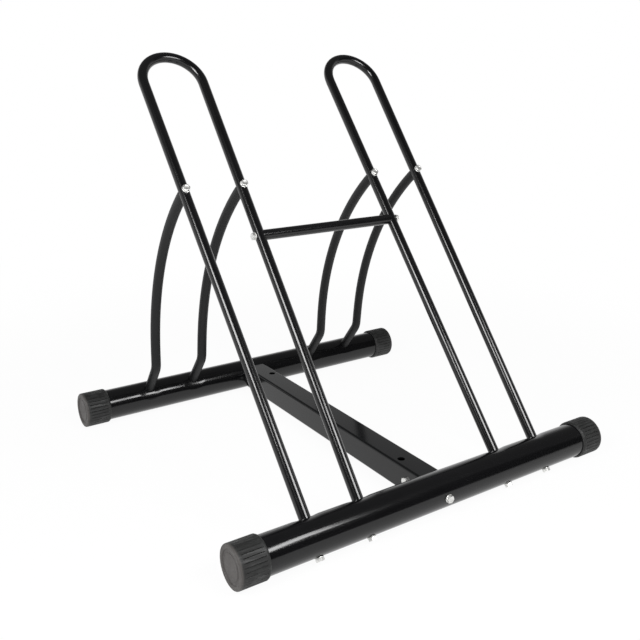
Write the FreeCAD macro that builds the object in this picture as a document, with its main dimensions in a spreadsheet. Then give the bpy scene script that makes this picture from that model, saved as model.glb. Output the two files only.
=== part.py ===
import FreeCAD, Part
import math
import os
import sys

import Sketcher

# Floor bike rack for two bicycles.  The rack stands on four rubber caps with +Z up and its
# origin on the floor at its centre.  X runs along the two base tubes.  +Y runs from the
# front tube, where the hoops are fixed, to the rear tube, where the curved supports stand.
# Left and right mirror each other in X = 0.

# ---- driving dimensions, in millimetres and degrees --------------------------------------
DIMENSIONS = (
    # base tubes and the rubber caps on their ends
    ("base_od", 50.8),
    ("base_wall", 2.0),
    ("base_pitch", 530.0),          # front tube axis to rear tube axis
    ("overall_length", 642.0),      # over the faces of the caps
    ("cap_od", 57.0),               # the caps carry the rack, so this sets its height
    ("cap_length", 41.0),
    ("cap_end", 5.0),               # rubber behind the end of the tube
    ("cap_lip", 1.0),               # wall left at the mouth
    ("cap_bevel", 3.0),
    ("cap_edge", 3.0),              # round of the outer edge
    ("rim_radius", 22.5),           # inside of the raised rim of the face
    ("field_radius", 21.5),
    ("disc_radius", 17.0),
    ("field_depth", 1.2),
    ("disc_depth", 0.6),
    ("flute_count", 32),
    ("flute_width", 2.0),
    ("flute_depth", 0.8),
    ("flute_start", 5.5),           # smooth band next to the face
    ("flute_length", 30.5),
    # thin tubes: hoops, supports and crossbar
    ("tube_od", 15.9),
    ("tube_wall", 1.5),
    ("tube_reach", 21.8),           # a foot ends this far past the axis of its base tube
    ("ear_trim", 2.5),              # a coped end stops short of the leg's axis
    ("socket_play", 0.35),          # round a foot in the wall of its base tube
    # hoops
    ("lean", 39.7),                 # back from the vertical
    ("inner_leg", 125.0),           # leg axes from the middle, at the base tube's axis
    ("outer_leg", 207.0),
    ("inner_splay", 0.29),          # towards the middle of the rack, going up
    ("outer_splay", 1.03),          # away from the middle
    ("bend_along", 701.0),          # centre of the bend above the base tube's axis
    ("crossbar_along", 424.0),
    # curved supports, each in the plane of its leg
    ("support_along", 508.0),       # where a support meets its leg, along the leg
    ("support_arc", 420.0),
    ("knee_height", 69.5),          # corner of the knee, from the axis of the rear tube
    ("knee_forward", 52.5),
    ("knee_radius", 30.0),
    # centre bar
    ("bar_side", 38.1),
    ("bar_wall", 2.0),
    ("bar_corner", 3.5),
    ("anchor_hole", 11.0),
    ("anchor_inset", 71.0),         # floor anchor holes from the axes of the base tubes
    ("anchor_offset", 6.0),         # one hole to each side of the middle
    ("cross_inset", 44.0),          # cross bolts from the axes of the base tubes
    # U brackets in the ends of the centre bar
    ("bracket_plate", 3.0),
    ("bracket_bend", 4.0),
    ("bracket_height", 30.0),
    ("bracket_start", 26.5),        # its web from the axis of the base tube
    ("bracket_length", 27.5),
    # threaded plugs in the ends of the thin tubes
    ("foot_plug", 16.0),
    ("cope_plug", 12.0),
    ("cope_plug_od", 11.6),         # narrower than the bore, because the supports bend
    ("cope_plug_start", 8.5),       # from the axis of the leg
    # M6 hardware
    ("thread", 6.0),
    ("bolt_hole", 6.6),
    ("hex_flats", 10.0),
    ("head_height", 4.0),
    ("head_land", 4.75),            # radius of the flat inside the chamfer
    ("nut_height", 5.0),
    ("washer_od", 12.0),
    ("washer_height", 1.2),
    ("foot_bolt", 16.0),            # bolt lengths under the head
    ("leg_bolt", 30.0),
    ("bracket_bolt", 65.0),
    ("cross_bolt", 45.0),
)

doc = FreeCAD.newDocument("floor_bike_rack")
sheet = doc.addObject("Spreadsheet::Sheet", "size")
for row, (alias, value) in enumerate(DIMENSIONS, start=1):
    sheet.set("A%d" % row, alias)
    sheet.set("B%d" % row, str(value))
    sheet.setAlias("B%d" % row, alias)
doc.recompute()

SIDES = {"left": -1, "right": 1}            # the sign of X
ENDS = {"front": -1, "rear": 1}             # the sign of Y
LEGS = {"inner": -1, "outer": 1}            # the way a leg splays as it goes up
TOLERANCE = 0.001                           # for finding edges of a shape
nodes = {}                                  # node name -> finished object

# ---- lengths that follow from the dimensions ---------------------------------------------
AXIS_HEIGHT = "size.cap_od / 2"
HALF_PITCH = "size.base_pitch / 2"
TUBE_RADIUS = "size.tube_od / 2"
BASE_RADIUS = "size.base_od / 2"
TUBE_BORE = "(size.tube_od / 2 - size.tube_wall)"


def splay(leg):
    return "size.%s_splay" % leg


def support_tilt(leg):
    """Angle between the plane of a support and the vertical."""
    return "atan(tan(%s) / cos(size.lean))" % splay(leg)


def washer_seat(radius, slant="0"):
    """From a tube's axis to a washer that touches the tube at its rim when it sits askew."""
    return "(%s + size.washer_od / 2 * sin(%s))" % (radius, slant)


def bolt_seat(radius, slant="0"):
    """From a tube's axis to the bearing face of a bolt head on such a washer."""
    return "(%s + size.washer_height)" % washer_seat(radius, slant)


# ---- placements as expressions -----------------------------------------------------------
UNIT = {"x": "create(<<vector>>; 1; 0; 0)",
        "y": "create(<<vector>>; 0; 1; 0)",
        "z": "create(<<vector>>; 0; 0; 1)"}


def at(x, y, z, *turns):
    """A placement at a point; its turns are pairs of axis and angle, the last one first."""
    rotations = ["create(<<rotation>>; %s; %s)" % (UNIT[axis], angle) for axis, angle in turns]
    rotations = rotations or ["create(<<rotation>>; %s; 0)" % UNIT["z"]]
    return "create(<<placement>>; create(<<vector>>; %s; %s; %s); %s)" % (
        x, y, z, " * ".join(rotations))


def signed(sign, expression):
    return "%d * (%s)" % (sign, expression)


def leg_frame(side, leg):
    """Origin on the front tube's axis, +Z up along the leg and -Y out of its front."""
    x = signed(SIDES[side], "size.%s_leg" % leg)
    return at(x, "-" + HALF_PITCH, AXIS_HEIGHT,
              ("x", "-size.lean"), ("y", signed(SIDES[side] * LEGS[leg], splay(leg))))


def support_frame(side, leg):
    """Origin on the rear tube's axis, with the support in the plane X = 0."""
    x = signed(SIDES[side], "size.%s_leg" % leg)
    return at(x, HALF_PITCH, AXIS_HEIGHT,
              ("y", signed(SIDES[side] * LEGS[leg], support_tilt(leg))))


def foot_frame(side, leg):
    """Origin on the rear tube's axis and +Z up along the foot of the support."""
    lean = "atan2(size.knee_forward; size.knee_height)"
    return support_frame(side, leg) + " * " + at("0", "0", "0", ("x", lean))


def crossbar_frame(side):
    """Origin on the inner leg's axis where the crossbar meets it, X along the crossbar."""
    upright = ("y", signed(SIDES[side], splay("inner")))
    return leg_frame(side, "inner") + " * " + at("0", "0", "size.crossbar_along", upright)


def place(item, *placements):
    item.setExpression("Placement", " * ".join(placements))
    return item


# ---- solids ------------------------------------------------------------------------------
def node(name, item):
    """Name the finished shape of a sub-part."""
    item.Label = name
    nodes[name] = item
    return item


def rod(name, radius, height, *placements):
    """A cylinder from the origin of its placement along its +Z."""
    item = doc.addObject("Part::Cylinder", name)
    item.setExpression("Radius", radius)
    item.setExpression("Height", height)
    return place(item, *placements)


def fused(name, items):
    fusion = doc.addObject("Part::MultiFuse", name)
    fusion.Shapes = items
    return fusion


def cut(name, base, tools):
    difference = doc.addObject("Part::Cut", name)
    difference.Base = base
    difference.Tool = fused(name + "_tools", tools) if len(tools) > 1 else tools[0]
    return difference


def mirrored(name, source):
    """The same piece on the other side of X = 0."""
    reflection = doc.addObject("Part::Mirroring", name)
    reflection.Source = source
    reflection.Normal = FreeCAD.Vector(1, 0, 0)
    return node(name, reflection)


def copies(name, source, placements):
    """A node that holds one piece at each of several places."""
    links = []
    for index, placement in enumerate(placements, start=1):
        link = doc.addObject("App::Link", "%s_%d" % (name, index))
        link.LinkedObject = source
        links.append(place(link, placement))
    group = doc.addObject("Part::Compound", name + "_group")
    group.Links = links
    return node(name, group)


# ---- sketches ----------------------------------------------------------------------------
ORIGIN = (-1, 1)                            # geometry and point numbers of a sketch's origin
X_AXIS, Y_AXIS = -1, -2
START, END, CENTRE = 1, 2, 3
UP = FreeCAD.Vector(0, 0, 1)


def sketch_on(body, role, offset=None):
    """A sketch on one of its body's own planes."""
    sketch = body.newObject("Sketcher::SketchObject", "%s_sketch" % body.Name)
    plane = next(item for item in body.Origin.OriginFeatures if item.Role == role)
    sketch.AttachmentSupport = [(plane, "")]
    sketch.MapMode = "FlatFace"
    if offset:
        sketch.setExpression("AttachmentOffset", offset)
    return sketch


def tie(sketch, kind, *references):
    sketch.addConstraint(Sketcher.Constraint(kind, *references))


def measured(sketch, kind, references):
    """The value of a dimension in the sketch as drawn, from which its solver starts."""
    if kind == "Radius":
        return sketch.Geometry[references[0]].Radius
    if kind in ("DistanceX", "DistanceY"):
        step = sketch.getPoint(*references[2:]) - sketch.getPoint(*references[:2])
        return step.x if kind == "DistanceX" else step.y
    line = sketch.Geometry[references[-1]]
    along = line.EndPoint - line.StartPoint
    if kind == "Angle":
        return math.atan2(along.y, along.x)
    if len(references) > 1:
        return sketch.getPoint(*references[:2]).distanceToLine(line.StartPoint, along)
    return along.Length


def measure(sketch, kind, expression, *references):
    """A driving dimension bound to an expression."""
    start = measured(sketch, kind, references)
    index = sketch.addConstraint(Sketcher.Constraint(kind, *references, start))
    sketch.setExpression("Constraints[%d]" % index, expression)


def pin(sketch, geometry, point, x, y):
    """Fix a point of a sketch by two expressions."""
    if x == "0":
        tie(sketch, "PointOnObject", geometry, point, Y_AXIS)
    else:
        measure(sketch, "DistanceX", x, *ORIGIN, geometry, point)
    if y == "0":
        tie(sketch, "PointOnObject", geometry, point, X_AXIS)
    else:
        measure(sketch, "DistanceY", y, *ORIGIN, geometry, point)


def ring(sketch, outer, inner):
    """Two circles round the origin."""
    for radius in (outer, inner):
        circle = sketch.addGeometry(Part.Circle(FreeCAD.Vector(), UP, 10))
        tie(sketch, "Coincident", circle, CENTRE, *ORIGIN)
        measure(sketch, "Radius", radius, circle)


def polygon(sketch, corners):
    """A closed outline through corners given as pairs of expressions."""
    count = len(corners)
    start = [FreeCAD.Vector(math.cos(2 * math.pi * k / count), math.sin(2 * math.pi * k / count))
             for k in range(count)]
    sides = [sketch.addGeometry(Part.LineSegment(start[k - 1], start[k])) for k in range(count)]
    for side, following, (x, y) in zip(sides, sides[1:] + sides[:1], corners):
        tie(sketch, "Coincident", side, END, following, START)
        pin(sketch, side, END, x, y)


def box_corners(half_x, half_y):
    return [(x + half_x, y + half_y) for x, y in (("", ""), ("-", ""), ("-", "-"), ("", "-"))]


def pad(body, sketch, length):
    """Material on both sides of the sketch."""
    feature = body.newObject("PartDesign::Pad", body.Name + "_pad")
    feature.Profile = sketch
    feature.SideType = "Symmetric"
    feature.setExpression("Length", length)
    return feature


def long_edges(feature, direction, wanted):
    """Names of the edges that run along a direction and whose middles are wanted."""
    doc.recompute()
    names = []
    for index, edge in enumerate(feature.Shape.Edges, start=1):
        tangent = edge.tangentAt(edge.FirstParameter)
        if tangent.cross(direction).Length < TOLERANCE and wanted(edge.CenterOfMass):
            names.append("Edge%d" % index)
    return names


def fillet(body, feature, edges, radius):
    rounding = body.newObject("PartDesign::Fillet", body.Name + "_fillet")
    rounding.Base = (feature, edges)
    rounding.setExpression("Radius", radius)
    return rounding


# ---- base tubes --------------------------------------------------------------------------
def tube_body(name, outer, inner, length):
    """A straight tube along X, centred on the origin."""
    body = doc.addObject("PartDesign::Body", name)
    section = sketch_on(body, "YZ_Plane")
    ring(section, outer, inner)
    pad(body, section, length)
    return body


def socket_holes(name, frame):
    """Holes for a foot in the upper wall of a base tube and for its bolt in the lower wall."""
    socket = rod(name + "_socket", TUBE_RADIUS + " + size.socket_play", "size.base_od", frame)
    drilled = rod(name + "_bolt_hole", "size.bolt_hole / 2", "size.base_od",
                  frame, at("0", "0", "0", ("x", "180")))
    return [socket, drilled]


def base_tube(end, frame_of):
    """One base tube with the holes for its four feet and for the bracket bolt."""
    tube = tube_body("%s_tube" % end, BASE_RADIUS, BASE_RADIUS + " - size.base_wall",
                     "size.overall_length - 2 * size.cap_end")
    place(tube, at("0", signed(ENDS[end], HALF_PITCH), AXIS_HEIGHT))
    through = at("0", signed(ENDS[end], HALF_PITCH) + " - size.base_od", AXIS_HEIGHT, ("x", "-90"))
    holes = [rod("%s_bracket_hole" % end, "size.bolt_hole / 2", "2 * size.base_od", through)]
    for side in SIDES:
        for leg in LEGS:
            holes += socket_holes("%s_%s_%s" % (end, side, leg), frame_of(side, leg))
    return node("%s_base_tube" % end, cut("%s_drilled" % end, tube, holes))


base_tube("front", leg_frame)
base_tube("rear", foot_frame)


# ---- rubber caps -------------------------------------------------------------------------
def cap_master():
    """A cap with its face at the origin and its mouth towards +X."""
    body = doc.addObject("PartDesign::Body", "cap")
    profile = sketch_on(body, "XY_Plane")
    radius, bore = "size.cap_od / 2", BASE_RADIUS
    polygon(profile, [
        ("size.disc_depth", "0"),
        ("size.disc_depth", "size.disc_radius"),
        ("size.field_depth", "size.disc_radius + size.field_depth - size.disc_depth"),
        ("size.field_depth", "size.field_radius"),
        ("0", "size.rim_radius"),
        ("0", radius),
        ("size.cap_length - size.cap_bevel", radius),
        ("size.cap_length", bore + " + size.cap_lip"),
        ("size.cap_length", bore),
        ("size.cap_end", bore),
        ("size.cap_end", "0"),
    ])
    turned = body.newObject("PartDesign::Revolution", "cap_revolution")
    turned.Profile = profile
    turned.ReferenceAxis = (profile, ["H_Axis"])
    turned.Angle = 360
    doc.recompute()
    outer = [index for index, edge in enumerate(turned.Shape.Edges, start=1)
             if edge.BoundBox.XMax < TOLERANCE
             and edge.BoundBox.YMax > sheet.get("rim_radius") + TOLERANCE]
    fillet(body, turned, ["Edge%d" % index for index in outer], "size.cap_edge")

    groove = sketch_on(body, "YZ_Plane", at("0", "0", "size.flute_start"))
    bottom, top = radius + " - size.flute_depth", radius + " + size.flute_depth"
    polygon(groove, [("0", bottom), ("size.flute_width", top), ("-size.flute_width", top)])
    flute = body.newObject("PartDesign::Pocket", "flute")
    flute.Profile = groove
    flute.Reversed = True
    flute.setExpression("Length", "size.flute_length")
    doc.recompute()
    flutes = body.newObject("PartDesign::PolarPattern", "flutes")
    flutes.Originals = [flute]
    flutes.Axis = (profile, ["H_Axis"])
    flutes.Angle = 360
    flutes.setExpression("Occurrences", "size.flute_count")
    body.Tip = flutes
    return body


cap = cap_master()
for end in ENDS:
    for side in SIDES:
        x = signed(SIDES[side], "size.overall_length / 2")
        facing = "90 + 90 * %d" % SIDES[side]
        copies("cap_%s_%s" % (end, side), cap,
               [at(x, signed(ENDS[end], HALF_PITCH), AXIS_HEIGHT, ("z", facing))])


# ---- hoops -------------------------------------------------------------------------------
def hoop_body():
    """The bent tube of the right hoop; its +Z is the axis of the inner leg."""
    body = doc.addObject("PartDesign::Body", "hoop")
    place(body, leg_frame("right", "inner"))
    path = sketch_on(body, "XZ_Plane")
    gap = sheet.get("outer_leg") - sheet.get("inner_leg")
    top, low = sheet.get("bend_along"), -sheet.get("tube_reach")
    inner = path.addGeometry(Part.LineSegment(FreeCAD.Vector(0, low), FreeCAD.Vector(0, top)))
    circle = Part.Circle(FreeCAD.Vector(gap / 2, top), UP, gap / 2)
    bend = path.addGeometry(Part.ArcOfCircle(circle, 0, math.pi))
    outer = path.addGeometry(Part.LineSegment(FreeCAD.Vector(gap, top), FreeCAD.Vector(gap, low)))
    outer_foot = path.addGeometry(Part.Point(FreeCAD.Vector(gap, 0)), True)
    across = "(size.outer_leg - size.inner_leg) * cos(size.inner_splay)"
    down = "-(size.outer_leg - size.inner_leg) * sin(size.inner_splay)"
    spread = "(size.inner_splay + size.outer_splay)"
    pin(path, inner, START, "0", "-size.tube_reach")
    tie(path, "Vertical", inner)
    tie(path, "Tangent", inner, END, bend, END)
    tie(path, "Tangent", bend, START, outer, START)
    measure(path, "DistanceY", "size.bend_along", *ORIGIN, bend, CENTRE)
    pin(path, outer_foot, START, across, down)
    tie(path, "PointOnObject", outer_foot, START, outer)
    pin(path, outer, END, "%s - size.tube_reach * sin%s" % (across, spread),
        "%s - size.tube_reach * cos%s" % (down, spread))
    section = sketch_on(body, "XY_Plane", at("0", "0", "-size.tube_reach"))
    ring(section, TUBE_RADIUS, TUBE_BORE)
    pipe = body.newObject("PartDesign::AdditivePipe", "hoop_pipe")
    pipe.Profile = section
    pipe.Spine = (path, ["Edge1", "Edge2", "Edge3"])
    return body


def leg_hole(name, leg, along):
    """A bolt hole straight through a leg from front to back."""
    start = at("0", "size.tube_od", along, ("x", "90"))
    return rod(name, "size.bolt_hole / 2", "2 * size.tube_od", leg_frame("right", leg), start)


holes = [leg_hole("hoop_hole_%s" % leg, leg, "size.support_along") for leg in LEGS]
holes.append(rod("hoop_hole_crossbar", "size.bolt_hole / 2", "2 * size.tube_od",
                 crossbar_frame("right"), at("-size.tube_od", "0", "0", ("y", "90"))))
hoop_right = node("hoop_right", cut("hoop_drilled", hoop_body(), holes))
mirrored("hoop_left", hoop_right)


# ---- crossbar ----------------------------------------------------------------------------
crossbar_x = "(size.inner_leg - size.crossbar_along * sin(size.inner_splay))"
along_flat = "size.crossbar_along * cos(size.inner_splay)"
crossbar = tube_body("crossbar_tube", TUBE_RADIUS, TUBE_BORE,
                     "2 * (%s - size.ear_trim)" % crossbar_x)
place(crossbar, at("0", "-%s + %s * sin(size.lean)" % (HALF_PITCH, along_flat),
                   "%s + %s * cos(size.lean)" % (AXIS_HEIGHT, along_flat),
                   ("x", "-size.lean")))


def leg_tool(name, side, leg, along):
    """The outside of a leg, for coping the end of a tube that meets it."""
    return rod(name, TUBE_RADIUS, "4 * size.tube_od",
               leg_frame(side, leg), at("0", "0", along + " - 2 * size.tube_od"))


copes = [leg_tool("crossbar_cope_%s" % side, side, "inner", "size.crossbar_along") for side in SIDES]
node("crossbar", cut("crossbar_coped", crossbar, copes))


# ---- curved supports ---------------------------------------------------------------------
def support_body(leg):
    """The bent tube of a right support in its own plane X = 0, Y and Z from the rear tube."""
    name = "support_%s" % leg
    lean = "atan(tan(size.lean) * cos(%s))" % support_tilt(leg)
    body = doc.addObject("PartDesign::Body", name)
    place(body, support_frame("right", leg))
    path = sketch_on(body, "YZ_Plane")

    # drawn close to its final shape, where the solver starts
    slope = math.radians(sheet.get("lean"))
    up_leg = FreeCAD.Vector(math.sin(slope), math.cos(slope))
    foot_of_leg = FreeCAD.Vector(-sheet.get("base_pitch"), 0)
    tip = foot_of_leg + up_leg * sheet.get("support_along")
    arc_radius, knee_radius = sheet.get("support_arc"), sheet.get("knee_radius")
    centre = tip - up_leg * arc_radius
    knee = FreeCAD.Vector(-sheet.get("knee_forward"), sheet.get("knee_height"))
    below = -knee * (sheet.get("tube_reach") / knee.Length)
    turn = math.atan2(-knee.x, knee.y)
    side = FreeCAD.Vector(knee_radius, 0)
    above_knee = knee + UP.cross(side) * math.tan(turn / 2)
    above_shin = knee + UP.cross(side)
    trim = sheet.get("ear_trim") / arc_radius
    start = math.asin(above_shin.y / arc_radius)

    foot = path.addGeometry(Part.LineSegment(below, knee))
    bend = path.addGeometry(Part.ArcOfCircle(Part.Circle(above_knee + side, UP, knee_radius),
                                             math.pi, math.pi + turn))
    shin = path.addGeometry(Part.LineSegment(above_knee, above_shin))
    sweep = Part.ArcOfCircle(Part.Circle(centre, UP, arc_radius), start, math.pi / 2 - slope - trim)
    arc = path.addGeometry(sweep)
    leg_line = path.addGeometry(Part.LineSegment(foot_of_leg, tip), True)
    radius_line = path.addGeometry(Part.LineSegment(centre, tip), True)

    pin(path, leg_line, START, "-size.base_pitch", "0")
    measure(path, "Distance", "size.support_along", leg_line)
    measure(path, "Angle", "90 deg - " + lean, leg_line)
    tie(path, "Coincident", radius_line, END, leg_line, END)
    tie(path, "PointOnObject", radius_line, START, leg_line)
    tie(path, "Coincident", arc, CENTRE, radius_line, START)
    measure(path, "Distance", "size.support_arc", radius_line)
    measure(path, "Radius", "size.support_arc", arc)
    measure(path, "Distance", "size.ear_trim", arc, END, leg_line)
    tie(path, "Tangent", foot, END, bend, END)
    tie(path, "Tangent", bend, START, shin, START)
    tie(path, "Tangent", shin, END, arc, START)
    measure(path, "Radius", "size.knee_radius", bend)
    corner = path.addGeometry(Part.Point(knee), True)
    pin(path, corner, START, "-size.knee_forward", "size.knee_height")
    tie(path, "PointOnObject", corner, START, foot)
    tie(path, "PointOnObject", corner, START, shin)
    foot_lean = "atan2(size.knee_forward; size.knee_height)"
    pin(path, foot, START, "size.tube_reach * sin(%s)" % foot_lean,
        "-size.tube_reach * cos(%s)" % foot_lean)

    section = sketch_on(body, "XY_Plane",
                        at("0", "size.tube_reach * sin(%s)" % foot_lean,
                           "-size.tube_reach * cos(%s)" % foot_lean, ("x", foot_lean)))
    ring(section, TUBE_RADIUS, TUBE_BORE)
    pipe = body.newObject("PartDesign::AdditivePipe", name + "_pipe")
    pipe.Profile = section
    pipe.Spine = (path, ["Edge1", "Edge2", "Edge3", "Edge4"])
    return body


for leg in LEGS:
    cope = leg_tool("support_cope_%s" % leg, "right", leg, "size.support_along")
    right = node("support_right_%s" % leg,
                 cut("support_coped_%s" % leg, support_body(leg), [cope]))
    mirrored("support_left_%s" % leg, right)


# ---- centre bar --------------------------------------------------------------------------
def centre_bar():
    """Square tube between the base tubes, its ends coped to their round sides."""
    body = doc.addObject("PartDesign::Body", "bar")
    place(body, at("0", "0", AXIS_HEIGHT))
    section = sketch_on(body, "XZ_Plane")
    half = "size.bar_side / 2"
    half_bore = "(size.bar_side / 2 - size.bar_wall)"
    polygon(section, box_corners(half, half))
    polygon(section, box_corners(half_bore, half_bore))
    tube = pad(body, section, "size.base_pitch")
    along_y = FreeCAD.Vector(0, 1, 0)
    inside = sheet.get("bar_side") / 2 - sheet.get("bar_wall") / 2
    outer = long_edges(tube, along_y, lambda middle: abs(middle.x) > inside)
    rounded = fillet(body, tube, outer, "size.bar_corner")
    inner = long_edges(rounded, along_y,
                       lambda middle: abs(middle.x) < inside and abs(middle.z) < inside)
    fillet(body, rounded, inner, "size.bar_corner - size.bar_wall")
    tools = []
    for end, sign in ENDS.items():
        axis_y = signed(sign, HALF_PITCH)
        tools.append(rod("bar_cope_%s" % end, BASE_RADIUS, "2 * size.bar_side",
                         at("-size.bar_side", axis_y, AXIS_HEIGHT, ("y", "90"))))
        anchor_y = signed(sign, HALF_PITCH + " - size.anchor_inset")
        tools.append(rod("anchor_hole_%s" % end, "size.anchor_hole / 2", "2 * size.bar_side",
                         at(signed(sign, "size.anchor_offset"), anchor_y,
                            AXIS_HEIGHT + " - size.bar_side")))
        cross_y = signed(sign, HALF_PITCH + " - size.cross_inset")
        tools.append(rod("bar_cross_hole_%s" % end, "size.bolt_hole / 2", "2 * size.bar_side",
                         at("-size.bar_side", cross_y, AXIS_HEIGHT, ("y", "90"))))
    return node("centre_bar", cut("bar_drilled", body, tools))


centre_bar()


# ---- brackets in the ends of the centre bar ----------------------------------------------
def bracket_master():
    """A U of bent plate; its web stands on X = 0 and its flanges run towards +X."""
    body = doc.addObject("PartDesign::Body", "bracket")
    upright = FreeCAD.Vector(0, 0, 1)
    half = "(size.bar_side / 2 - size.bar_wall)"
    profile = sketch_on(body, "XY_Plane")
    polygon(profile, [("0", half), ("size.bracket_length", half),
                      ("size.bracket_length", "-" + half), ("0", "-" + half)])
    block = pad(body, profile, "size.bracket_height")
    web = long_edges(block, upright, lambda middle: middle.x < 1)
    rounded = fillet(body, block, web, "size.bracket_bend")
    channel = sketch_on(body, "XY_Plane")
    inner = half + " - size.bracket_plate"
    polygon(channel, [("size.bracket_plate", inner), ("size.bracket_length + 1", inner),
                      ("size.bracket_length + 1", "-(%s)" % inner),
                      ("size.bracket_plate", "-(%s)" % inner)])
    pocket = body.newObject("PartDesign::Pocket", "channel")
    pocket.Profile = channel
    pocket.SideType = "Symmetric"
    pocket.setExpression("Length", "2 * size.bracket_height")
    corners = long_edges(pocket, upright,
                         lambda middle: abs(middle.x - sheet.get("bracket_plate")) < 0.1)
    fillet(body, pocket, corners, "size.bracket_bend - size.bracket_plate")
    bolt_hole = rod("bracket_bolt_hole", "size.bolt_hole / 2", "2 * size.bracket_plate",
                    at("-size.bracket_plate / 2", "0", "0", ("y", "90")))
    cross_hole = rod("bracket_cross_hole", "size.bolt_hole / 2", "2 * size.bar_side",
                     at("size.cross_inset - size.bracket_start", "size.bar_side", "0", ("x", "90")))
    return cut("bracket_drilled", body, [bolt_hole, cross_hole])


bracket = bracket_master()
for end, sign in ENDS.items():
    copies("bracket_%s" % end, bracket,
           [at("0", signed(sign, HALF_PITCH + " - size.bracket_start"), AXIS_HEIGHT,
               ("z", signed(-sign, "90")))])


# ---- M6 hardware -------------------------------------------------------------------------
def sleeve(name, outer, inner, height):
    """A ring on the XY plane, going up."""
    return cut(name, rod(name + "_outside", outer, height, at("0", "0", "0")),
               [rod(name + "_bore", inner, height, at("0", "0", "0"))])


def hexagon(name, height):
    """A hexagon on the XY plane with its upper corners chamfered."""
    prism = doc.addObject("Part::Prism", name + "_prism")
    prism.Polygon = 6
    prism.setExpression("Circumradius", "size.hex_flats / sqrt(3)")
    prism.setExpression("Height", height)
    cone = doc.addObject("Part::Cone", name + "_cone")
    cone.setExpression("Radius2", "size.head_land")
    cone.setExpression("Radius1", "size.head_land + %s * sqrt(3)" % height)
    cone.setExpression("Height", height)
    common = doc.addObject("Part::Common", name + "_chamfered")
    common.Base = prism
    common.Tool = cone
    return common


def bolt(name, length):
    """A hexagon bolt with its bearing face on the XY plane and its head above."""
    shank = rod(name + "_shank", "size.thread / 2", length, at("0", "0", "-" + length))
    return fused(name, [hexagon(name + "_head", "size.head_height"), shank])


def nut(name):
    bore = rod(name + "_bore", "size.thread / 2", "size.nut_height", at("0", "0", "0"))
    return cut(name, hexagon(name + "_blank", "size.nut_height"), [bore])


def under(frame, *steps):
    return " * ".join((frame,) + steps)


foot_bolt = bolt("foot_bolt", "size.foot_bolt")
leg_bolt = bolt("leg_bolt", "size.leg_bolt")
bracket_bolt = bolt("bracket_bolt", "size.bracket_bolt")
cross_bolt = bolt("cross_bolt", "size.cross_bolt")
washer = sleeve("washer", "size.washer_od / 2", "size.bolt_hole / 2", "size.washer_height")
hex_nut = nut("hex_nut")
foot_plug = sleeve("foot_plug", TUBE_BORE, "size.thread / 2", "size.foot_plug")
cope_plug = sleeve("cope_plug", "size.cope_plug_od / 2", "size.thread / 2", "size.cope_plug")

every_leg = [(side, leg) for side in SIDES for leg in LEGS]
DOWNWARDS = ("x", "180")
FORWARDS, BACKWARDS = ("x", "90"), ("x", "-90")

# feet of the hoops and of the supports, each held by a bolt through the bottom of its tube
for kind, frame_of, slant_of in (("leg", leg_frame, splay), ("foot", foot_frame, support_tilt)):
    plugs, washers, bolts = [], [], []
    for side, leg in every_leg:
        frame, slant = frame_of(side, leg), slant_of(leg)
        plugs.append(under(frame, at("0", "0", "-size.tube_reach")))
        washers.append(under(frame, at("0", "0", "-" + washer_seat(BASE_RADIUS, slant), DOWNWARDS)))
        bolts.append(under(frame, at("0", "0", "-" + bolt_seat(BASE_RADIUS, slant), DOWNWARDS)))
    copies("%s_plugs" % kind, foot_plug, plugs)
    copies("%s_washers" % kind, washer, washers)
    copies("%s_bolts" % kind, foot_bolt, bolts)

# tops of the supports, each held by a bolt from the front of its leg
frames = [under(leg_frame(side, leg), at("0", "0", "size.support_along")) for side, leg in every_leg]
copies("support_plugs", cope_plug,
       [under(frame, at("0", "size.cope_plug_start", "0", BACKWARDS)) for frame in frames])
copies("support_washers", washer,
       [under(frame, at("0", "-" + washer_seat(TUBE_RADIUS), "0", FORWARDS)) for frame in frames])
copies("support_bolts", leg_bolt,
       [under(frame, at("0", "-" + bolt_seat(TUBE_RADIUS), "0", FORWARDS)) for frame in frames])

# ends of the crossbar, each held by a bolt from the far side of the inner leg
plugs, washers, bolts = [], [], []
for side, sign in SIDES.items():
    frame = crossbar_frame(side)
    outwards, inwards = ("y", signed(sign, "90")), ("y", signed(sign, "-90"))
    plugs.append(under(frame, at(signed(-sign, "size.cope_plug_start"), "0", "0", inwards)))
    slant = splay("inner")
    washers.append(under(frame, at(signed(sign, washer_seat(TUBE_RADIUS, slant)), "0", "0", outwards)))
    bolts.append(under(frame, at(signed(sign, bolt_seat(TUBE_RADIUS, slant)), "0", "0", outwards)))
copies("crossbar_plugs", cope_plug, plugs)
copies("crossbar_washers", washer, washers)
copies("crossbar_bolts", leg_bolt, bolts)

# the centre bar: a bolt through each base tube into its bracket, and one across the bar
washers, bolts, weld_nuts, cross_bolts, cross_nuts = [], [], [], [], []
for sign in ENDS.values():
    outwards, inwards = ("x", signed(sign, "-90")), ("x", signed(sign, "90"))
    washers.append(at("0", signed(sign, HALF_PITCH + " + " + washer_seat(BASE_RADIUS)), AXIS_HEIGHT,
                      outwards))
    bolts.append(at("0", signed(sign, HALF_PITCH + " + " + bolt_seat(BASE_RADIUS)), AXIS_HEIGHT,
                    outwards))
    behind_web = HALF_PITCH + " - size.bracket_start - size.bracket_plate"
    weld_nuts.append(at("0", signed(sign, behind_web), AXIS_HEIGHT, inwards))
    cross_y = signed(sign, HALF_PITCH + " - size.cross_inset")
    cross_bolts.append(at("-size.bar_side / 2", cross_y, AXIS_HEIGHT, ("y", "-90")))
    cross_nuts.append(at("size.bar_side / 2", cross_y, AXIS_HEIGHT, ("y", "90")))
copies("bracket_washers", washer, washers)
copies("bracket_bolts", bracket_bolt, bolts)
copies("bracket_nuts", hex_nut, weld_nuts)
copies("cross_bolts", cross_bolt, cross_bolts)
copies("cross_nuts", hex_nut, cross_nuts)

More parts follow.
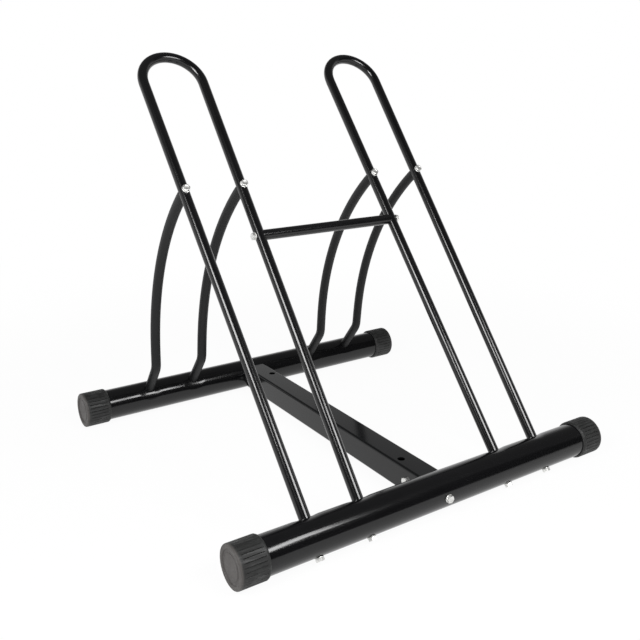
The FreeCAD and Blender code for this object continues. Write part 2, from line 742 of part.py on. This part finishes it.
# ---- check everything, then write the sub-parts ------------------------------------------
doc.recompute()
faults = [item.Name for item in doc.Objects if {"Invalid", "Error"} & set(item.State)]
for name, item in nodes.items():
    if item.Shape.isNull() or not item.Shape.isValid() or not item.Shape.Solids:
        faults.append(name)
if faults:
    sys.exit("not built: " + ", ".join(faults))

os.makedirs("parts", exist_ok=True)
for name, item in nodes.items():
    item.Shape.exportStep("parts/%s.step" % name)
print("%d sub-parts written" % len(nodes))
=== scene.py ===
import math

import bmesh
import bpy
from mathutils import Matrix, Quaternion, Vector


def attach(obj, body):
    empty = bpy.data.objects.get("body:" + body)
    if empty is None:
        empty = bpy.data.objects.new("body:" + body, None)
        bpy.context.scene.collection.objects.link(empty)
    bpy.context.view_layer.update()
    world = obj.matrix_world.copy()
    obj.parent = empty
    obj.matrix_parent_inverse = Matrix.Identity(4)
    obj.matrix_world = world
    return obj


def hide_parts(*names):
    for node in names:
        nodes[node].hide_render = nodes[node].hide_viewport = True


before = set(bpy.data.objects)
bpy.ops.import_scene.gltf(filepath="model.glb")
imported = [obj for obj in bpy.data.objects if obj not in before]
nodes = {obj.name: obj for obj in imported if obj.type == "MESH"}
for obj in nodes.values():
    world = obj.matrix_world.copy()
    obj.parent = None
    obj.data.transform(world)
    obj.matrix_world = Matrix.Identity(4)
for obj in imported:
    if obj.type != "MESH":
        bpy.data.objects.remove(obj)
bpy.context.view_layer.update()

# ---- Base tubes ---------------------------------------------------------------------------
# Two lengths of 2 inch steel tube, powder coated in gloss black.  The holes for the feet are
# punched, which pulls the wall in a little all round them, so reflections bend there.


class Shade:
    """A socket in a material, so that the maths of a finish reads as an expression."""

    def __init__(self, tree, socket=None):
        self.tree = tree
        self.socket = socket

    def node(self, kind, settings=(), output=0, **values):
        """Add a node, set it up, fill its sockets and give one of its outputs.

        A socket is named by its label, with _ for a space, or as _ and its number."""
        made = self.tree.nodes.new(kind)
        for name, value in dict(settings).items():
            setattr(made, name, value)
        for name, value in values.items():
            number = name[1:]
            self.fill(made.inputs[int(number) if number.isdigit() else name.replace("_", " ")],
                      value)
        return Shade(self.tree, made.outputs[output])

    def fill(self, socket, value):
        if isinstance(value, Shade):
            self.tree.links.new(value.socket, socket)
        else:
            socket.default_value = value

    def maths(self, operation, first, second=0.0):
        return self.node("ShaderNodeMath", {"operation": operation}, _0=first, _1=second)

    def __add__(self, other):
        return self.maths("ADD", self, other)

    def __sub__(self, other):
        return self.maths("SUBTRACT", self, other)

    def __rsub__(self, other):
        return self.maths("SUBTRACT", other, self)

    def __mul__(self, other):
        return self.maths("MULTIPLY", self, other)

    def __truediv__(self, other):
        return self.maths("DIVIDE", self, other)

    def __pow__(self, other):
        return self.maths("POWER", self, other)

    __radd__ = __add__
    __rmul__ = __mul__


def new_finish(name):
    """An empty material, with the Shade that adds nodes to it."""
    material = bpy.data.materials.new(name)
    material.use_nodes = True
    material.node_tree.nodes.clear()
    return material, Shade(material.node_tree)


def close_finish(shade, surface):
    output = shade.tree.nodes.new("ShaderNodeOutputMaterial")
    shade.tree.links.new(surface.socket, output.inputs["Surface"])


def give(material, *names):
    """Put a finish on CAD nodes."""
    for name in names:
        for slot in nodes[name].material_slots:
            slot.material = material


PEEL_SCALE, PEEL_HEIGHT = 320.0, 0.0000003      # the coat's orange peel, height in metres
SMEAR_SCALE, SMEAR_ROUGHNESS = 14.0, 0.05
COAT_BLACK = (0.0018, 0.0018, 0.0021)
COAT_SMEARED = (0.0045, 0.0045, 0.005)


def black_coat(name, roughness, shine, colour=COAT_BLACK):
    """Powder coat with faint orange peel and fainter smears."""
    material, shade = new_finish(name)
    place = shade.node("ShaderNodeTexCoord", output=3)
    peel = shade.node("ShaderNodeTexNoise", Vector=place, Scale=PEEL_SCALE, Detail=2.0)
    smears = shade.node("ShaderNodeTexNoise", Vector=place, Scale=SMEAR_SCALE, Detail=4.0)
    bump = shade.node("ShaderNodeBump", Height=peel * PEEL_HEIGHT, Distance=1.0)
    tone = shade.node("ShaderNodeMix", {"data_type": "RGBA"}, output=2,
                      _0=smears, _6=(*colour, 1), _7=(*COAT_SMEARED, 1))
    surface = shade.node("ShaderNodeBsdfPrincipled", Base_Color=tone,
                         Roughness=smears * SMEAR_ROUGHNESS + roughness,
                         Specular_IOR_Level=shine, Normal=bump)
    close_finish(shade, surface)
    return material


AXIS_HEIGHT = 0.0285                    # of the base tubes above the floor
HALF_PITCH = 0.265                      # from the middle of the rack to a base tube's axis
SOCKET_X = (-0.2074, -0.1249, 0.1249, 0.2074)
FRONT_SOCKET = (-0.2499, 0.0467)        # y and z of the holes for the feet
REAR_SOCKET = (0.2507, 0.0474)
SOCKET_RADIUS = 0.0085
DENT_LIP = 0.0025                       # the wall this near to a hole is pulled in all the way
DENT_REACH, DENT_DEPTH = 0.013, 0.0008
CUT_STEP = 0.0025                       # rows of faces round each hole
SAME_PLACE = 0.000001


def pick(piece, wanted):
    """Select the vertices of the piece in edit mode that pass a test on their place."""
    mesh = bmesh.from_edit_mesh(piece.data)
    for vertex in mesh.verts:
        vertex.select_set(bool(wanted(vertex.co)))
    mesh.select_flush(True)
    bmesh.update_edit_mesh(piece.data)


def settle(piece, crease):
    """Leave edit mode, shade smooth up to the crease angle, put the place in the mesh."""
    bpy.ops.object.mode_set(mode="OBJECT")
    bpy.ops.object.shade_smooth_by_angle(angle=math.radians(crease))
    bpy.ops.object.transform_apply(location=True, rotation=True, scale=True)


def copy_to(piece, name, place, turn=(0, 0, 0)):
    """A copy with its own mesh, turned and moved."""
    bpy.ops.object.select_all(action="DESELECT")
    copied = piece.copy()
    copied.data = piece.data.copy()
    copied.name = name
    bpy.context.scene.collection.objects.link(copied)
    copied.select_set(True)
    bpy.context.view_layer.objects.active = copied
    copied.rotation_euler = turn
    copied.location = place
    bpy.ops.object.transform_apply(location=True, rotation=True, scale=True)
    return copied


def punched_tube(name, socket_y, socket_z, axis_y):
    """A base tube with its wall pulled in round the holes for the feet."""
    piece = copy_to(nodes[name], name + "_punched", (0, 0, 0))
    bpy.ops.mesh.customdata_custom_splitnormals_clear()
    bpy.ops.object.mode_set(mode="EDIT")
    bpy.ops.mesh.select_all(action="SELECT")
    bpy.ops.mesh.remove_doubles(threshold=SAME_PLACE)
    inwards = Vector((0, axis_y - socket_y, AXIS_HEIGHT - socket_z)).normalized() * DENT_DEPTH
    reach = SOCKET_RADIUS + DENT_REACH
    for socket_x in SOCKET_X:
        for cut in range(round(2 * reach / CUT_STEP) + 1):
            bpy.ops.mesh.select_all(action="SELECT")
            bpy.ops.mesh.bisect(plane_co=(socket_x - reach + cut * CUT_STEP, 0, 0),
                                plane_no=(1, 0, 0))
    bpy.ops.mesh.select_all(action="SELECT")
    bpy.ops.mesh.remove_doubles(threshold=SAME_PLACE)
    for socket_x in SOCKET_X:
        centre = Vector((socket_x, socket_y, socket_z))
        pick(piece, lambda place: (place - centre).length < SOCKET_RADIUS + DENT_LIP)
        bpy.ops.transform.translate(value=inwards, use_proportional_edit=True,
                                    proportional_edit_falloff="SMOOTH",
                                    proportional_size=DENT_REACH)
    settle(piece, crease=30)
    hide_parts(name)
    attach(piece, "root")
    piece.data.materials.clear()
    piece.data.materials.append(tube_coat)


tube_coat = black_coat("base_tube_coat", roughness=0.13, shine=0.42)
punched_tube("front_base_tube", *FRONT_SOCKET, -HALF_PITCH)
punched_tube("rear_base_tube", *REAR_SOCKET, HALF_PITCH)

# ---- Rubber caps --------------------------------------------------------------------------
# Moulded rubber caps pushed over the ends of the base tubes; the rack stands on them.  The
# face has a raised rim round a sunk field with a disc in it, and thin flutes run down the side.
HALF_LENGTH = 0.321                     # from the middle of the rack to the face of a cap
CAP_RADIUS = 0.0285
BORE_RADIUS = 0.02545
CAP_SECTION = (                         # along the tube from the face, and out from the axis
    (0.0006, 0.0), (0.0006, 0.0125), (0.0007, 0.0168), (0.0013, 0.0174), (0.0013, 0.0213),
    (0.0002, 0.0222), (0.0, 0.0228), (0.0, 0.0256), (0.0001, 0.0272), (0.0005, 0.0279),
    (0.0012, 0.0283), (0.0022, CAP_RADIUS), (0.0055, CAP_RADIUS), (0.0068, CAP_RADIUS),
    (0.0140, CAP_RADIUS), (0.0210, CAP_RADIUS), (0.0280, CAP_RADIUS), (0.0352, CAP_RADIUS),
    (0.0364, CAP_RADIUS), (0.0382, CAP_RADIUS), (0.0398, 0.0277), (0.0408, 0.0267),
    (0.0410, 0.0261), (0.0408, BORE_RADIUS), (0.0050, BORE_RADIUS), (0.0050, 0.0))
FLUTES = 32
FLUTE_COLUMNS = 9                       # columns of faces from one flute to the next
FLUTE_FLOOR = (0,)                      # the column at the bottom of a flute
LAND = (3, 4, 5, 6)                     # those in the middle of the land between two flutes
FLUTED = (0.0067, 0.0353)               # where the flutes have their full depth
FLUTE_DEPTH = 0.0009
LAND_HOLLOW = 0.00012                   # the lands are almost flat
SKIN = 0.027                            # what is further out than this isn't the bore
SEAM = 0.00001


def turned_piece(name, section, columns):
    """A piece turned about the X axis from its section, as on a lathe."""
    bpy.ops.object.select_all(action="DESELECT")
    bpy.ops.mesh.primitive_plane_add(size=0.001, location=(0, 0, 0))
    piece = bpy.context.object
    piece.name = name
    bpy.ops.object.mode_set(mode="EDIT")
    bpy.ops.mesh.select_all(action="SELECT")
    bpy.ops.mesh.merge(type="CENTER")
    bpy.ops.transform.translate(value=(section[0][0], 0, section[0][1]))
    for (along, out), (next_along, next_out) in zip(section, section[1:]):
        bpy.ops.mesh.extrude_region_move(
            TRANSFORM_OT_translate={"value": (next_along - along, 0, next_out - out)})
    bpy.ops.mesh.select_all(action="SELECT")
    bpy.ops.mesh.spin(steps=columns, angle=2 * math.pi, center=(0, 0, 0), axis=(1, 0, 0))
    bpy.ops.mesh.select_all(action="SELECT")
    bpy.ops.mesh.remove_doubles(threshold=SEAM)
    bpy.ops.mesh.normals_make_consistent(inside=False)
    return piece


def from_axis(place):
    return math.hypot(place.y, place.z)


def column(place):
    """The column of a cap's vertex, counted from the flute before it."""
    turn = math.atan2(place.z, place.y) / (2 * math.pi)
    return round(turn * FLUTES * FLUTE_COLUMNS) % FLUTE_COLUMNS


def squeeze(piece, columns, depth):
    """Pull some columns of the fluted band towards the axis."""
    pick(piece, lambda place: FLUTED[0] < place.x < FLUTED[1] and column(place) in columns
         and from_axis(place) > SKIN)
    factor = 1 - depth / CAP_RADIUS
    bpy.ops.transform.resize(value=(1, factor, factor), center_override=(0, 0, 0))


RUBBER = (0.0065, 0.0067, 0.0065)
RUBBER_SCUFFED = (0.021, 0.0218, 0.0214)
RUBBER_FACE_LIGHT = (0.074, 0.067, 0.063)     # painted light: the faces are painted paler than the sides, where they catch the light
FACE_LIGHT_SHARE = 0.75
FACE_LIGHT_DEPTH = (0.004, 0.001)             # from the end, where the painted face light starts and is full
GRAIN_HEIGHT, SCUFF_HEIGHT = 0.00002, 0.00003

cap_rubber, shade = new_finish("cap_rubber")
place = shade.node("ShaderNodeTexCoord", output=3)
grain = shade.node("ShaderNodeTexNoise", Vector=place, Scale=1400.0, Detail=3.0)
lengthways = shade.node("ShaderNodeMapping", Vector=place, Scale=(0.12, 1.0, 1.0))
scuffs = shade.node("ShaderNodeTexNoise", Vector=lengthways, Scale=420.0, Detail=4.0)
cloud = shade.node("ShaderNodeTexNoise", Vector=place, Scale=60.0, Detail=3.0)
scuffed = shade.node("ShaderNodeMapRange", {"interpolation_type": "SMOOTHSTEP"},
                     Value=scuffs * 0.6 + cloud * 0.4, From_Min=0.42, From_Max=0.66)
side_tone = shade.node("ShaderNodeMix", {"data_type": "RGBA"}, output=2,
                       _0=scuffed, _6=(*RUBBER, 1), _7=(*RUBBER_SCUFFED, 1))
# The faces are painted paler towards the end of each cap: painted light, standing in for the
# light they catch.
along = shade.node("ShaderNodeSeparateXYZ", output=0, Vector=place)
face_light = shade.node("ShaderNodeMapRange", Value=shade.maths("ABSOLUTE", along),
                  From_Min=HALF_LENGTH - FACE_LIGHT_DEPTH[0], From_Max=HALF_LENGTH - FACE_LIGHT_DEPTH[1])
tone = shade.node("ShaderNodeMix", {"data_type": "RGBA"}, output=2,
                  _0=face_light * FACE_LIGHT_SHARE, _6=side_tone, _7=(*RUBBER_FACE_LIGHT, 1))
bump = shade.node("ShaderNodeBump", Height=grain * GRAIN_HEIGHT + scuffs * SCUFF_HEIGHT,
                  Distance=1.0)
close_finish(shade, shade.node("ShaderNodeBsdfPrincipled", Base_Color=tone,
                               Roughness=0.62 - scuffed * 0.14, Normal=bump))

cap = turned_piece("cap", CAP_SECTION, FLUTES * FLUTE_COLUMNS)
squeeze(cap, FLUTE_FLOOR, FLUTE_DEPTH)
squeeze(cap, LAND, LAND_HOLLOW)
settle(cap, crease=24)
cap.data.materials.append(cap_rubber)
for end, axis_y in (("front", -HALF_PITCH), ("rear", HALF_PITCH)):
    for side, sign in (("left", -1), ("right", 1)):
        name = "cap_%s_%s" % (end, side)
        turn = (0, 0, math.pi * (1 + sign) / 2)
        piece = copy_to(cap, name + "_moulding", (sign * HALF_LENGTH, axis_y, AXIS_HEIGHT),
                        turn)
        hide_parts(name)
        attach(piece, "root")
bpy.data.objects.remove(cap)

# ---- Hoops and crossbar -------------------------------------------------------------------
# Two bent steel tubes whose legs stand in the front base tube, and the straight tube bolted
# between their inner legs, all in the same gloss black coat.
hoop_coat = black_coat("hoop_coat", roughness=0.16, shine=0.5)
give(hoop_coat, "hoop_left", "hoop_right", "crossbar")

# ---- Curved supports ----------------------------------------------------------------------
# Bent tubes from the backs of the legs down into the rear base tube.  Their coat came out
# less glossy than that of the hoops.
support_coat = black_coat("support_coat", roughness=0.46, shine=0.32,
                          colour=(0.0018, 0.0022, 0.0026))
give(support_coat, "support_left_outer", "support_left_inner",
     "support_right_inner", "support_right_outer")

# ---- Centre bar ---------------------------------------------------------------------------
# Square tube with rounded corners and two holes for floor anchors, coped to the base tubes
# and bolted to them at both ends.
bar_coat = black_coat("bar_coat", roughness=0.1, shine=0.34, colour=(0.004, 0.0045, 0.005))
give(bar_coat, "centre_bar")

# ---- Bolts, washers and nuts --------------------------------------------------------------
# M6 hexagon bolts, washers and nuts in bright zinc plate.  The heads are forged with a dished
# top, and their chamfer leaves an arc on each flat; the washers are pressed, with soft rims.
TURNED_COLUMNS = 48
HALF_FLATS = 0.005
HEAD_HEIGHT = 0.004
HEAD_LAND = 0.00475                     # radius of the top inside the chamfer
ROUGH_RADIUS = 0.0056                   # of the head before its flats are made
ROUGH_DROP = 0.0004                     # of its top edge under the top
HEAD_SIDES = 0.0055                     # only the sides of the rough head are further out
HEAD_TOP = -0.001                       # only the top and its edge are above this
CHAMFER_SLOPE = 1 / math.sqrt(3)        # 30 degrees
THREAD_RADIUS = 0.003
THREAD_DEPTH = 0.0004
THREAD_PITCH = 0.001
THREAD_TURNS = 7                        # the part of the thread that can be seen
TIP_RADIUS, TIP_CHAMFER = 0.0024, 0.0006
HEAD_SECTION = (                        # along the bolt from the top, and out from the axis
    (-0.0006, 0.0), (-0.0006, 0.0021), (-0.0005, 0.0027), (-0.0001, 0.0034), (0.0, 0.0039),
    (0.0, 0.0045), (-0.00006, HEAD_LAND), (-ROUGH_DROP, ROUGH_RADIUS), (-0.0038, ROUGH_RADIUS),
    (-HEAD_HEIGHT, 0.0049), (-HEAD_HEIGHT, THREAD_RADIUS))
WASHER_SECTION = (
    (-0.0040, 0.0033), (-0.0040, 0.0056), (-0.00412, 0.00588), (-0.0044, 0.0060),
    (-0.0048, 0.0060), (-0.00508, 0.00588), (-0.0052, 0.0056), (-0.0052, 0.0033),
    (-0.0040, 0.0033))
SIDE_TURNS = (0.0, 7.5, 15.0, 22.5, 30.0)   # columns of a flat, in degrees from its middle
FIRST_TURN, NEXT_TURN = 0.4, 1.3        # no two heads are done up to the same turn, radians


def metal(name, colour, roughness):
    """Plated or bare steel with a fine grain and faint stains."""
    material, shade = new_finish(name)
    place = shade.node("ShaderNodeTexCoord", output=3)
    grain = shade.node("ShaderNodeTexNoise", Vector=place, Scale=900.0, Detail=3.0)
    stain = shade.node("ShaderNodeTexNoise", Vector=place, Scale=260.0, Detail=2.0)
    stained = tuple(0.8 * part for part in colour)
    tone = shade.node("ShaderNodeMix", {"data_type": "RGBA"}, output=2,
                      _0=stain, _6=(*colour, 1), _7=(*stained, 1))
    bump = shade.node("ShaderNodeBump", Height=grain * 0.000004, Distance=1.0)
    close_finish(shade, shade.node("ShaderNodeBsdfPrincipled", Base_Color=tone, Metallic=1.0,
                                   Roughness=grain * 0.2 + roughness, Normal=bump))
    return material


def from_flat(place):
    """Degrees between a vertex of a head and the middle of its flat."""
    turn = math.degrees(math.atan2(place.z, place.y))
    return abs((turn + 30) % 60 - 30)


def hex_bolt(length):
    """A bolt along the X axis, the top of its head at the origin."""
    tip = -HEAD_HEIGHT - length
    start = tip + TIP_CHAMFER + THREAD_TURNS * THREAD_PITCH
    thread = []
    for turn in range(THREAD_TURNS):
        thread += [(start - turn * THREAD_PITCH, THREAD_RADIUS),
                   (start - (turn + 0.5) * THREAD_PITCH, THREAD_RADIUS - THREAD_DEPTH)]
    end = ((tip + TIP_CHAMFER, THREAD_RADIUS), (tip, TIP_RADIUS), (tip, 0.0))
    piece = turned_piece("bolt", HEAD_SECTION + tuple(thread) + end, TURNED_COLUMNS)
    for turn in SIDE_TURNS:
        flat = HALF_FLATS / math.cos(math.radians(turn))
        pick(piece, lambda place: from_axis(place) > HEAD_SIDES
             and abs(from_flat(place) - turn) < 1)
        factor = flat / ROUGH_RADIUS
        bpy.ops.transform.resize(value=(1, factor, factor), center_override=(0, 0, 0))
        pick(piece, lambda place: from_axis(place) > HEAD_LAND + 0.0001
             and place.x > HEAD_TOP and abs(from_flat(place) - turn) < 1)
        drop = ROUGH_DROP - (flat - HEAD_LAND) * CHAMFER_SLOPE
        bpy.ops.transform.translate(value=(drop, 0, 0))
    settle(piece, crease=24)
    return piece


def fix_all(model, name, node, places):
    """Copies of a fastener at its places, joined to the piece that stands for a CAD node."""
    copies = []
    for number, (head, axis) in enumerate(places):
        turn = (Vector((1, 0, 0)).rotation_difference(Vector(axis))
                @ Quaternion((1, 0, 0), FIRST_TURN + NEXT_TURN * number))
        copies.append(copy_to(model, name, head, turn.to_euler()))
    bpy.ops.object.select_all(action="DESELECT")
    for copied in copies:
        copied.select_set(True)
    bpy.context.view_layer.objects.active = copies[0]
    bpy.ops.object.join()
    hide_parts(node)
    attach(copies[0], "root")


both = (-1, 1)
FASTENERS = (                           # group, length of the bolt, tops of heads, directions
    ("leg", 0.016, [((side * 0.12519, -0.28471, 0.00505), (side * 0.0051, -0.6388, -0.7694))
                    for side in both]
     + [((side * 0.20633, -0.28475, 0.00500), (side * -0.018, -0.6387, -0.7693))
        for side in both]),
    ("foot", 0.016, [((side * 0.12520, 0.28369, 0.00422), (side * 0.0053, 0.6028, -0.7979))
                     for side in both]
     + [((side * 0.20630, 0.28375, 0.00415), (side * -0.0186, 0.6027, -0.7977))
        for side in both]),
    ("support", 0.030, [((side * 0.12243, 0.04949, 0.42789), (0, -0.7694, 0.6388))
                        for side in both]
     + [((side * 0.21613, 0.04944, 0.42783), (0, -0.7694, 0.6388)) for side in both]),
    ("crossbar", 0.030, [((side * 0.13603, 0.00583, 0.35472), (side, 0, 0)) for side in both]),
    ("bracket", 0.065, [((0, side * 0.2956, 0.0285), (0, side, 0)) for side in both]),
    ("cross", 0.045, [((-0.02305, side * 0.221, 0.0285), (-1, 0, 0)) for side in both]))

zinc_plate = metal("zinc_plate", (0.9, 0.9, 0.88), roughness=0.36)
washer = turned_piece("washer", WASHER_SECTION, TURNED_COLUMNS)
settle(washer, crease=40)
washer.data.materials.append(zinc_plate)
bolts = {}
for group, length, places in FASTENERS:
    if length not in bolts:
        bolts[length] = hex_bolt(length)
        bolts[length].data.materials.append(zinc_plate)
    fix_all(bolts[length], group + "_hex_bolts", group + "_bolts", places)
    if group != "cross":
        fix_all(washer, group + "_pressed_washers", group + "_washers", places)
for model in (washer, *bolts.values()):
    bpy.data.objects.remove(model)
give(zinc_plate, "cross_nuts")

# ---- Brackets and plugs -------------------------------------------------------------------
# Folded brackets with weld nuts in the ends of the bar, and threaded plugs in the tubes, all
# in bare steel and out of sight.
bare_steel = metal("bare_steel", (0.4, 0.4, 0.41), roughness=0.35)
give(bare_steel, "bracket_front", "bracket_rear", "bracket_nuts", "leg_plugs", "foot_plugs",
     "support_plugs", "crossbar_plugs")

# ---- Floor and background -----------------------------------------------------------------
# A white seamless sheet that runs on into a white surround.  It takes a faint shadow round
# the rack only, so that no horizon shows.
FLOOR_SIZE = 12
FLOOR_PAINT = (0.85, 0.85, 0.85, 1)
SHADOW_SHARE = 0.05                     # how much of the floor's look is painted, not lit
SHADOW_REACH = 0.9                      # metres round the middle of the rack
WHITE = (1, 1, 1, 1)


def seen_rays(shade):
    """1 for rays from the camera, from a reflection or through glass, 0 for diffuse light;
    and 1 for those from a reflection or through glass alone."""
    rays = shade.node("ShaderNodeLightPath").socket.node.outputs
    camera_ray, glossy_ray, clear_ray = (Shade(shade.tree, rays["Is %s Ray" % kind])
                                         for kind in ("Camera", "Glossy", "Transmission"))
    reflected = shade.maths("MAXIMUM", glossy_ray, clear_ray)
    return shade.maths("MAXIMUM", camera_ray, reflected), reflected


bpy.ops.mesh.primitive_plane_add(size=FLOOR_SIZE, location=(0, 0, 0))
floor = bpy.context.object
floor.name = "floor"

white_floor, shade = new_finish("white_floor")
place = shade.node("ShaderNodeTexCoord", output=3)
away = shade.node("ShaderNodeVectorMath", {"operation": "LENGTH"}, output=1, _0=place)
painted_share = shade.maths("EXPONENT", (away / SHADOW_REACH) ** 4.0 * -1.0) * SHADOW_SHARE
painted = shade.node("ShaderNodeBsdfDiffuse", Color=FLOOR_PAINT)
bright = shade.node("ShaderNodeEmission", Color=WHITE, Strength=1.0)
bright_share = seen_rays(shade)[0] * (1 - painted_share)
close_finish(shade, shade.node("ShaderNodeMixShader", _0=bright_share, _1=painted, _2=bright))
floor.data.materials.append(white_floor)

SURROUND_LIGHT = 0.3                    # diffuse light from all round
CEILING = 0.15                          # reflections find the white surround dimmed overhead
CEILING_EDGE = (0.1, 0.6)               # from which height on, as the height of a unit vector
ROOM = 0.04                             # and behind the camera, where the studio is dark
ROOM_SIDE = (-0.2, -0.98, 0.0)
ROOM_EDGE = (0.0, 0.4)                  # from how far round to that side on

world = bpy.data.worlds.new("studio")
bpy.context.scene.world = world
world.use_nodes = True
world.node_tree.nodes.clear()
shade = Shade(world.node_tree)
direction = shade.node("ShaderNodeTexCoord", output=0)
height = shade.node("ShaderNodeSeparateXYZ", output=2, Vector=direction)
overhead = shade.node("ShaderNodeMapRange", {"interpolation_type": "SMOOTHSTEP"}, Value=height,
                      From_Min=CEILING_EDGE[0], From_Max=CEILING_EDGE[1],
                      To_Min=1.0, To_Max=CEILING)
sideways = shade.node("ShaderNodeVectorMath", {"operation": "DOT_PRODUCT"}, output=1,
                      _0=direction, _1=ROOM_SIDE)
room = shade.node("ShaderNodeMapRange", {"interpolation_type": "SMOOTHSTEP"}, Value=sideways,
                  From_Min=ROOM_EDGE[0], From_Max=ROOM_EDGE[1], To_Min=1.0, To_Max=ROOM)
seen, reflected = seen_rays(shade)
surround = 1 - reflected * (1 - shade.maths("MINIMUM", overhead, room))
sky = shade.node("ShaderNodeBackground", Color=WHITE,
                 Strength=seen * surround + (1 - seen) * SURROUND_LIGHT)
output = shade.tree.nodes.new("ShaderNodeOutputWorld")
shade.tree.links.new(sky.socket, output.inputs["Surface"])


# ---- Lamps --------------------------------------------------------------------------------
# Two softboxes: one to the right of the camera, which draws the line along the front tube,
# and one on the left, which draws the lines down the legs.
def softbox(name, place, target, size, watts):
    lamp = bpy.data.lights.new(name, "AREA")
    lamp.shape = "RECTANGLE"
    lamp.size, lamp.size_y = size
    lamp.energy = watts
    holder = bpy.data.objects.new(name, lamp)
    bpy.context.scene.collection.objects.link(holder)
    holder.location = place
    holder.rotation_euler = (Vector(target) - Vector(place)).to_track_quat("-Z", "Y").to_euler()
    holder.visible_camera = False


softbox("right_softbox", place=(0.15, -1.10, 1.0), target=(-0.1, -0.2, 0.1),
        size=(0.66, 0.36), watts=12)
softbox("left_softbox", place=(-1.20, -0.52, 1.1), target=(0, -0.1, 0.25),
        size=(0.6, 0.5), watts=17)

# ---- Camera -------------------------------------------------------------------------------
# It stands in front and to the left, as high as the tops of the hoops, and looks down a
# little.  The shift is the photograph's own: its frame is cut off the middle of the lens.
CAMERA_PLACE = (-0.7088, -1.0293, 0.6122)
CAMERA_YAW, CAMERA_PITCH, CAMERA_ROLL = 35.134, 14.45, -0.739
FOCAL_LENGTH, SENSOR_WIDTH = 46.366, 36
camera = bpy.data.cameras.new("camera")
camera.lens = FOCAL_LENGTH
camera.sensor_width = SENSOR_WIDTH
camera.shift_x, camera.shift_y = -0.0293, -0.0814
holder = bpy.data.objects.new("camera", camera)
bpy.context.scene.collection.objects.link(holder)
holder.matrix_world = (Matrix.Translation(CAMERA_PLACE)
                       @ Matrix.Rotation(math.radians(-CAMERA_YAW), 4, "Z")
                       @ Matrix.Rotation(math.radians(90 - CAMERA_PITCH), 4, "X")
                       @ Matrix.Rotation(math.radians(-CAMERA_ROLL), 4, "Z"))
bpy.context.scene.camera = holder
bpy.context.scene.view_settings.view_transform = "Standard"
